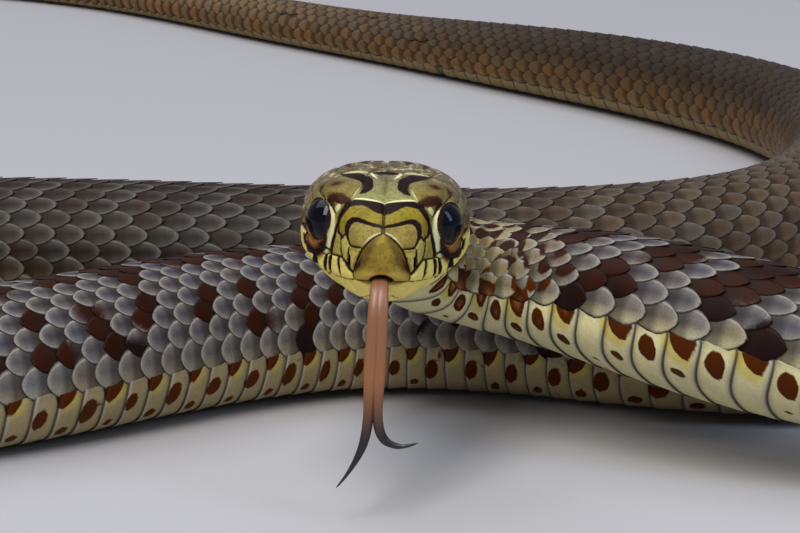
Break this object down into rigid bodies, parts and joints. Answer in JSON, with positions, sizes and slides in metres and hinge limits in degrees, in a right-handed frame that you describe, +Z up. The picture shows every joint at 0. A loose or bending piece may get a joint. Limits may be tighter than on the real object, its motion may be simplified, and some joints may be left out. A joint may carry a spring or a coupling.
{
  "type": "young racer snake, still life-size model",
  "caption": "Still life-size model of a slender young racer snake lying in loose bends, head and forebody raised towards the viewer and forked tongue out.",
  "frame": {"origin": "on the floor under the middle of the model's box", "axes": "+Z up; +Y from the snout's side towards the tail, the longest extent; -Y is the way the head faces; +X the animal's left"},
  "size_m": [0.1374, 0.1888, 0.0191],
  "materials": {
    "head_plates": "smooth horny head plates, mustard yellow with dark brown bands, satin",
    "spotted_scales": "smooth overlapping grey scales with chestnut blotches over a cream belly with rust spots, satin",
    "plain_scales": "smooth overlapping grey-brown scales fading to plain olive brown, satin",
    "eye": "wet-looking clear spectacle over a large round black pupil and thin brown iris",
    "tongue": "moist pink-brown, black towards the forked tips"
  },
  "bodies": {
    "root": {"head": "head_plates", "lower_jaw": "head_plates", "eye_right": "eye", "eye_left": "eye", "tongue": "tongue", "neck": "spotted_scales", "forebody": "spotted_scales", "first_bend": "spotted_scales", "trunk_front": "spotted_scales", "second_bend_front": "spotted_scales", "second_bend_rear": "spotted_scales", "trunk_middle": "plain_scales", "third_bend_front": "plain_scales", "third_bend_rear": "plain_scales", "trunk_rear": "plain_scales", "tail_base": "plain_scales", "tail_middle": "plain_scales", "tail_tip": "plain_scales"}
  },
  "joints": []
}
